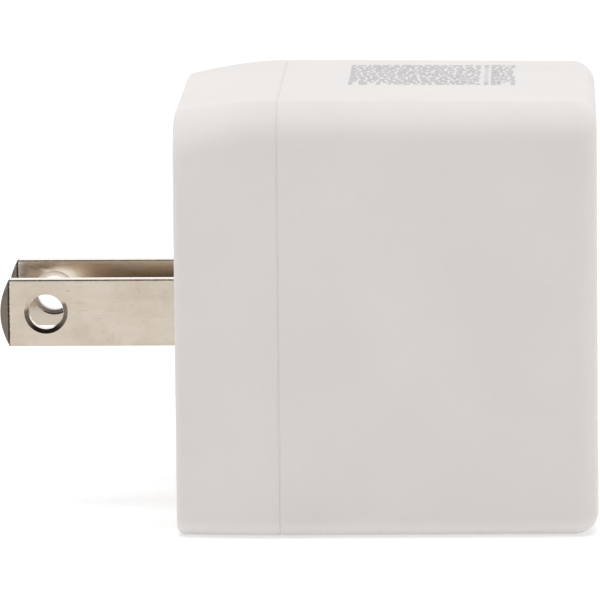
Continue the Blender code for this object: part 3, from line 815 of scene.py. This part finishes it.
def plated_metal(name, color, tarnish, roughness):
    """Plated sheet metal: faint rolling streaks, cloudy tarnish, small pits and fine scratches."""
    n = Nodes(name)
    streaks = n.noise(1500.0, 5.0, 0.65, (0.2, 1.0, 1.0))
    clouds = n.noise(260.0, 5.0, 0.6)
    pits = n.ramp(n.noise(2600.0, 2.0, 0.5), 0.7, 0.78)
    tone = n.mix(n.ramp(clouds, 0.45, 0.7), color, tarnish)
    tone = n.mix(n.ramp(streaks, 0.35, 0.7, 0.0, 0.35), tone, tarnish)
    scratches = n.ramp(n.noise(3800.0, 3.0, 0.6, (0.16, 1.0, 1.0)), 0.6, 0.68)
    tone = n.mix(n.ramp(pits, 0.0, 1.0, 0.0, 0.35), tone, tuple(0.45 * c for c in tarnish))
    tone = n.mix(n.math("MULTIPLY", scratches, 0.3), tone, tuple(0.7 * c for c in tarnish))
    n.set(Metallic=1.0)
    rough = n.add("ShaderNodeMath", {0: streaks, 1: 0.12, 2: roughness - 0.06}, operation="MULTIPLY_ADD")
    n.set(Roughness=rough.outputs[0])
    n.bump(((streaks, 0.06, 0.00002), (clouds, 0.1, 0.00006), (pits, -0.25, 0.00001)))
    n.tone = tone
    n.rough = rough.outputs[0]
    n.set(Base_Color=tone)
    return n


def hole_distances(n):
    """A point's distance from the near blade's hole axis, and how far from it along DARKER_DOWN."""
    low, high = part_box("blade_near")
    centre_z = (low.z + high.z) / 2 + BLADE_HOLE_RISES["near"]
    centre = (low.x + BLADE_HOLE_FROM_TIP, 0.0, centre_z)
    offset = n.vector("SUBTRACT", n.position, centre).outputs[0]
    offset = n.vector("MULTIPLY", offset, (1.0, 0.0, 1.0)).outputs[0]
    radius = n.vector("LENGTH", offset).outputs["Value"]
    below = n.vector("DOT_PRODUCT", offset, DARKER_DOWN).outputs["Value"]
    return radius, below


def nickel_plate():
    """The blades' nickel, with painted light: ground tips painted dark as a reflection, painted shade in
    the countersinks, ragged painted dark reflections on the upper edges and inner faces painted paler.
    """
    n = plated_metal("nickel_plate_scuffed_with_painted_light", NICKEL_COLOR, NICKEL_TARNISH, 0.13)
    low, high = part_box("blade_near")
    place = n.add("ShaderNodeSeparateXYZ", {0: n.position}).outputs
    ragged = n.noise(5200.0, 3.0, 0.7)

    # The tip, painted dark as a reflection of the dim surround at its side, with a ragged line of painted
    # shade where its ground facets meet the flats.
    x = n.math("ADD", place["X"], n.ramp(ragged, 0.3, 0.7, -TIP_RAGGED, TIP_RAGGED))
    flat_x = low.x + BLADE_BOW
    tip = n.ramp(x, flat_x, flat_x - TIP_BLEND)
    # Painted shade: a thin dark line along the crease behind the tip.
    line = n.math("ABSOLUTE", n.math("SUBTRACT", x, flat_x - TIP_BLEND))
    line = n.ramp(line, *TIP_LINE_REACH)

    # The faces that the two blades turn to each other, by their distance in from the outer ones.
    across = [-low.y - reach for reach in INNER_FACE_REACH]
    inner = n.ramp(n.math("ABSOLUTE", place["Y"]), *across)

    # The countersinks, dull on the inner faces and with painted shade at the bottom on the outer ones.
    radius, below = hole_distances(n)
    sink = n.ramp(radius, BLADE_SINK_RADIUS + SINK_BLEND, BLADE_SINK_RADIUS)
    bore = n.ramp(radius, BLADE_HOLE_RADIUS + BORE_BLEND[0], BLADE_HOLE_RADIUS + BORE_BLEND[1])
    sink = n.math("SUBTRACT", sink, bore)
    dull = n.math("MULTIPLY", sink, inner)
    sink = n.math("MULTIPLY", sink, n.ramp(below, *SINK_SHADE_REACH))
    sink = n.math("MULTIPLY", sink, n.ramp(inner, 0.0, 1.0, 0.8, 0.0))

    # The rounded upper long edges, away from the hole: duller, and with a ragged painted dark reflection of
    # the dim sky overhead.
    up = n.add("ShaderNodeSeparateXYZ", {0: n.add("ShaderNodeNewGeometry").outputs["Normal"]}).outputs["Z"]
    edge = n.math("MULTIPLY", n.ramp(up, 0.15, 0.35), n.ramp(up, 0.97, 0.85))
    clear = [BLADE_SINK_RADIUS + reach for reach in EDGE_CLEAR_OF_SINK]
    edge = n.math("MULTIPLY", edge, n.ramp(radius, *clear))
    dull = n.math("MAXIMUM", dull, edge)
    edge = n.math("MULTIPLY", edge, n.ramp(ragged, 0.44, 0.52))

    # The inner faces are painted paler, as painted light in the dim gap between the blades, and darker
    # again below the hole.
    inner_painted_light = n.mix(n.ramp(below, 0.0, INNER_LOW_REACH), INNER_PAINTED_LIGHT, NICKEL_INNER_LOW)
    # The painted light and shade laid over the nickel, one after another.
    tone = n.mix(inner, n.tone, inner_painted_light)
    tone = n.mix(tip, tone, TIP_PAINTED_REFLECTION)
    tone = n.mix(sink, tone, SINK_PAINTED_SHADE)
    tone = n.mix(n.math("MULTIPLY", edge, 0.8), tone, EDGE_PAINTED_REFLECTION)
    n.set(Base_Color=n.mix(line, tone, TIP_LINE_PAINTED_SHADE))
    n.set(Roughness=n.math("ADD", n.rough, n.math("MULTIPLY", dull, 0.4)))
    return n.material


def printed_ink(name, dark, pale):
    """Pad-printing ink, a little uneven in its cover."""
    n = Nodes(name)
    cover = n.noise(2400.0, 4.0, 0.6)
    n.set(Base_Color=n.mix(n.ramp(cover, 0.3, 0.7), dark, pale))
    n.set(Roughness=n.ramp(cover, 0.3, 0.7, 0.4, 0.55))
    n.bump(((cover, 0.15, 0.00001),))
    return n.material


def board_laminate():
    """Green solder mask with the glass weave showing through and a little dust."""
    n = Nodes("board_laminate_green")
    weave = []
    for axis in ("X", "Y"):
        wave = n.add("ShaderNodeTexWave", {"Vector": n.position, "Scale": 320.0, "Distortion": 0.4})
        wave.bands_direction = axis
        weave.append(wave.outputs["Fac"])
    cloth = n.add("ShaderNodeMath", {0: weave[0], 1: weave[1]}, operation="MULTIPLY").outputs[0]
    dust = n.noise(700.0, 4.0)
    tone = n.mix(cloth, BOARD_RESIN, BOARD_WEAVE)
    n.set(Base_Color=n.mix(n.ramp(dust, 0.55, 0.8, 0.0, 0.3), tone, BOARD_DUST))
    n.set(Roughness=n.ramp(dust, 0.3, 0.7, 0.32, 0.5))
    n.bump(((cloth, 0.15, 0.00003), (dust, 0.05, 0.00002)))
    return n.material


def coated(name, color, shade, roughness, scale, bump):
    """A dipped, sintered or wrapped part: mottled colour, uneven gloss and a soft skin."""
    n = Nodes(name)
    mottle = n.noise(scale, 5.0, 0.6)
    clouds = n.noise(0.2 * scale, 3.0)
    tone = n.mix(n.ramp(clouds, 0.35, 0.65), color, shade)
    bright = tuple(min(1.0, 1.8 * c) for c in color)
    n.set(Base_Color=n.mix(n.ramp(mottle, 0.55, 0.8, 0.0, 0.4), tone, bright))
    n.set(Roughness=n.ramp(mottle, 0.3, 0.7, roughness - 0.08, roughness + 0.08))
    n.bump(((clouds, bump, 0.0001), (mottle, bump, 0.00002)))
    return n.material


def inner_materials():
    """A material for each of the record's slots that a part inside has."""
    black = moulded_plastic("black_plastic_moulded", BLACK_COLOR, BLACK_SHADE, 0.45)
    bronze = plated_metal("spring_bronze_strip", BRONZE_COLOR, BRONZE_TARNISH, 0.3)
    finishes = {
        "black_plastic": black.material,
        "spring_bronze": bronze.material,
        "board_laminate": board_laminate(),
    }
    for slot, (finish, *values) in COATINGS.items():
        finishes[slot] = coated(f"{slot}_{finish}", *values)
    return finishes


# ---------------------------------------------------------------- studio


def aimed(obj, position, target):
    """Place an object and point its -Z at a target."""
    obj.location = position
    obj.rotation_mode = "QUATERNION"
    obj.rotation_quaternion = (Vector(target) - Vector(position)).to_track_quat("-Z", "Y")


def area_light(name, position, target, size, power, color):
    """A soft square light, aimed at a target, that glossy surfaces don't mirror."""
    data = bpy.data.lights.new(name, "AREA")
    data.size = size
    data.energy = power
    data.color = color
    obj = bpy.data.objects.new(name, data)
    bpy.context.scene.collection.objects.link(obj)
    aimed(obj, position, target)
    obj.visible_glossy = False


def studio():
    """A white light table in a soft surround, bright at the sides and behind, dim in front and overhead."""
    bm = bmesh.new()
    bmesh.ops.create_circle(bm, cap_ends=True, radius=FLOOR_RADIUS, segments=64)
    n = Nodes("studio_floor")
    n.set(Base_Color=n.mix(n.noise(3.0), FLOOR_COLOR, FLOOR_SHADE), Roughness=0.9)
    n.set(Emission_Color=(1.0, 1.0, 1.0), Emission_Strength=FLOOR_GLOW)
    n.shader.inputs["Specular IOR Level"].default_value = 0.0
    floor = finish_mesh("studio_floor", bm, n.material)

    world = bpy.data.worlds.new("studio")
    bpy.context.scene.world = world
    world.use_nodes = True
    tree = world.node_tree
    coordinate = tree.nodes.new("ShaderNodeTexCoord")
    split = tree.nodes.new("ShaderNodeSeparateXYZ")
    tree.links.new(coordinate.outputs["Generated"], split.inputs[0])
    height = tree.nodes.new("ShaderNodeMapRange")
    tree.links.new(split.outputs["Z"], height.inputs["Value"])
    depth = tree.nodes.new("ShaderNodeMapRange")
    tree.links.new(split.outputs["Y"], depth.inputs["Value"])
    settings = (
        (height, (SKY_BRIGHT_BELOW, SKY_DARK_ABOVE, 1.0, SKY_DARK)),
        (depth, (SKY_FRONT_EDGE, SKY_SIDE_EDGE, SKY_FRONT, SKY_BACK)),
    )
    for node, values in settings:
        for name, value in zip(("From Min", "From Max", "To Min", "To Max"), values):
            node.inputs[name].default_value = value
    product = tree.nodes.new("ShaderNodeMath")
    product.operation = "MULTIPLY"
    tree.links.new(height.outputs[0], product.inputs[0])
    tree.links.new(depth.outputs[0], product.inputs[1])
    background = tree.nodes["Background"]
    tree.links.new(product.outputs[0], background.inputs["Strength"])
    background.inputs["Color"].default_value = (1.0, 1.0, 1.0, 1.0)

    middle = Vector((0.0, 0.0, TOP_Z / 2))
    area_light("overhead", OVERHEAD_PLACE, middle, OVERHEAD_SIZE, OVERHEAD_POWER, OVERHEAD_COLOR)
    bpy.context.scene.view_settings.view_transform = "Standard"


def add_camera():
    """A long lens from the side, a little above, slightly towards the sockets."""
    data = bpy.data.cameras.new("camera")
    data.sensor_width = CAMERA_SENSOR
    data.lens = CAMERA_LENS
    data.clip_start, data.clip_end = CAMERA_CLIP
    camera = bpy.data.objects.new("camera", data)
    bpy.context.scene.collection.objects.link(camera)
    level = math.cos(CAMERA_ELEVATION)
    ahead = Vector((-math.sin(CAMERA_YAW), math.cos(CAMERA_YAW), 0.0))
    forward = ahead * level - Vector((0.0, 0.0, math.sin(CAMERA_ELEVATION)))
    right = Vector((math.cos(CAMERA_YAW), math.sin(CAMERA_YAW), 0.0))
    turn = Matrix.Rotation(CAMERA_ROLL, 3, forward)
    right = turn @ right
    up = right.cross(forward)
    aim = Vector((WALL_X + CAMERA_AIM_X, 0.0, TOP_Z / 2 - CAMERA_AIM_DROP))
    matrix = Matrix((right, up, -forward)).transposed().to_4x4()
    matrix.translation = aim - forward * CAMERA_DISTANCE
    camera.matrix_world = matrix
    bpy.context.scene.camera = camera


def main():
    """Build the pieces, the studio and the camera."""
    shell = shell_plastic()
    nickel = nickel_plate()
    steel = plated_metal("port_steel_plated", STEEL_COLOR, STEEL_TARNISH, 0.26).material
    gold = plated_metal("contact_gold_plated", GOLD_COLOR, GOLD_TARNISH, 0.24).material
    black = moulded_plastic("tongue_plastic_black", TONGUE_COLOR, TONGUE_SHADE, 0.38).material
    made = [(front_cover(shell), "shell_plastic"), (main_housing(shell), "shell_plastic")]
    made += [(blade(side, nickel), "nickel_plate") for side in ("near", "far")]
    made.append((print_marks(printed_ink("print_ink_grey", *INK_GREY)), None))
    made.append((print_bar(printed_ink("print_ink_pale", *INK_PALE)), None))
    for port in PORTS:
        made.append((port_shell(port, steel), "port_steel"))
        made.append((port_springs(port, steel), "port_steel"))
        made.append((port_tongue(port, black), "tongue_plastic"))
        for number in range(1, CONTACTS_PER_PORT + 1):
            made.append((port_contact(port, number, gold), "contact_gold"))
    for piece, slot in made:
        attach(piece, "root")
    finishes = inner_materials()
    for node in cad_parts.values():
        if not node.hide_render:
            slot = node.material_slots[0]
            slot.material = finishes[slot.material.name]
    studio()
    add_camera()


main()
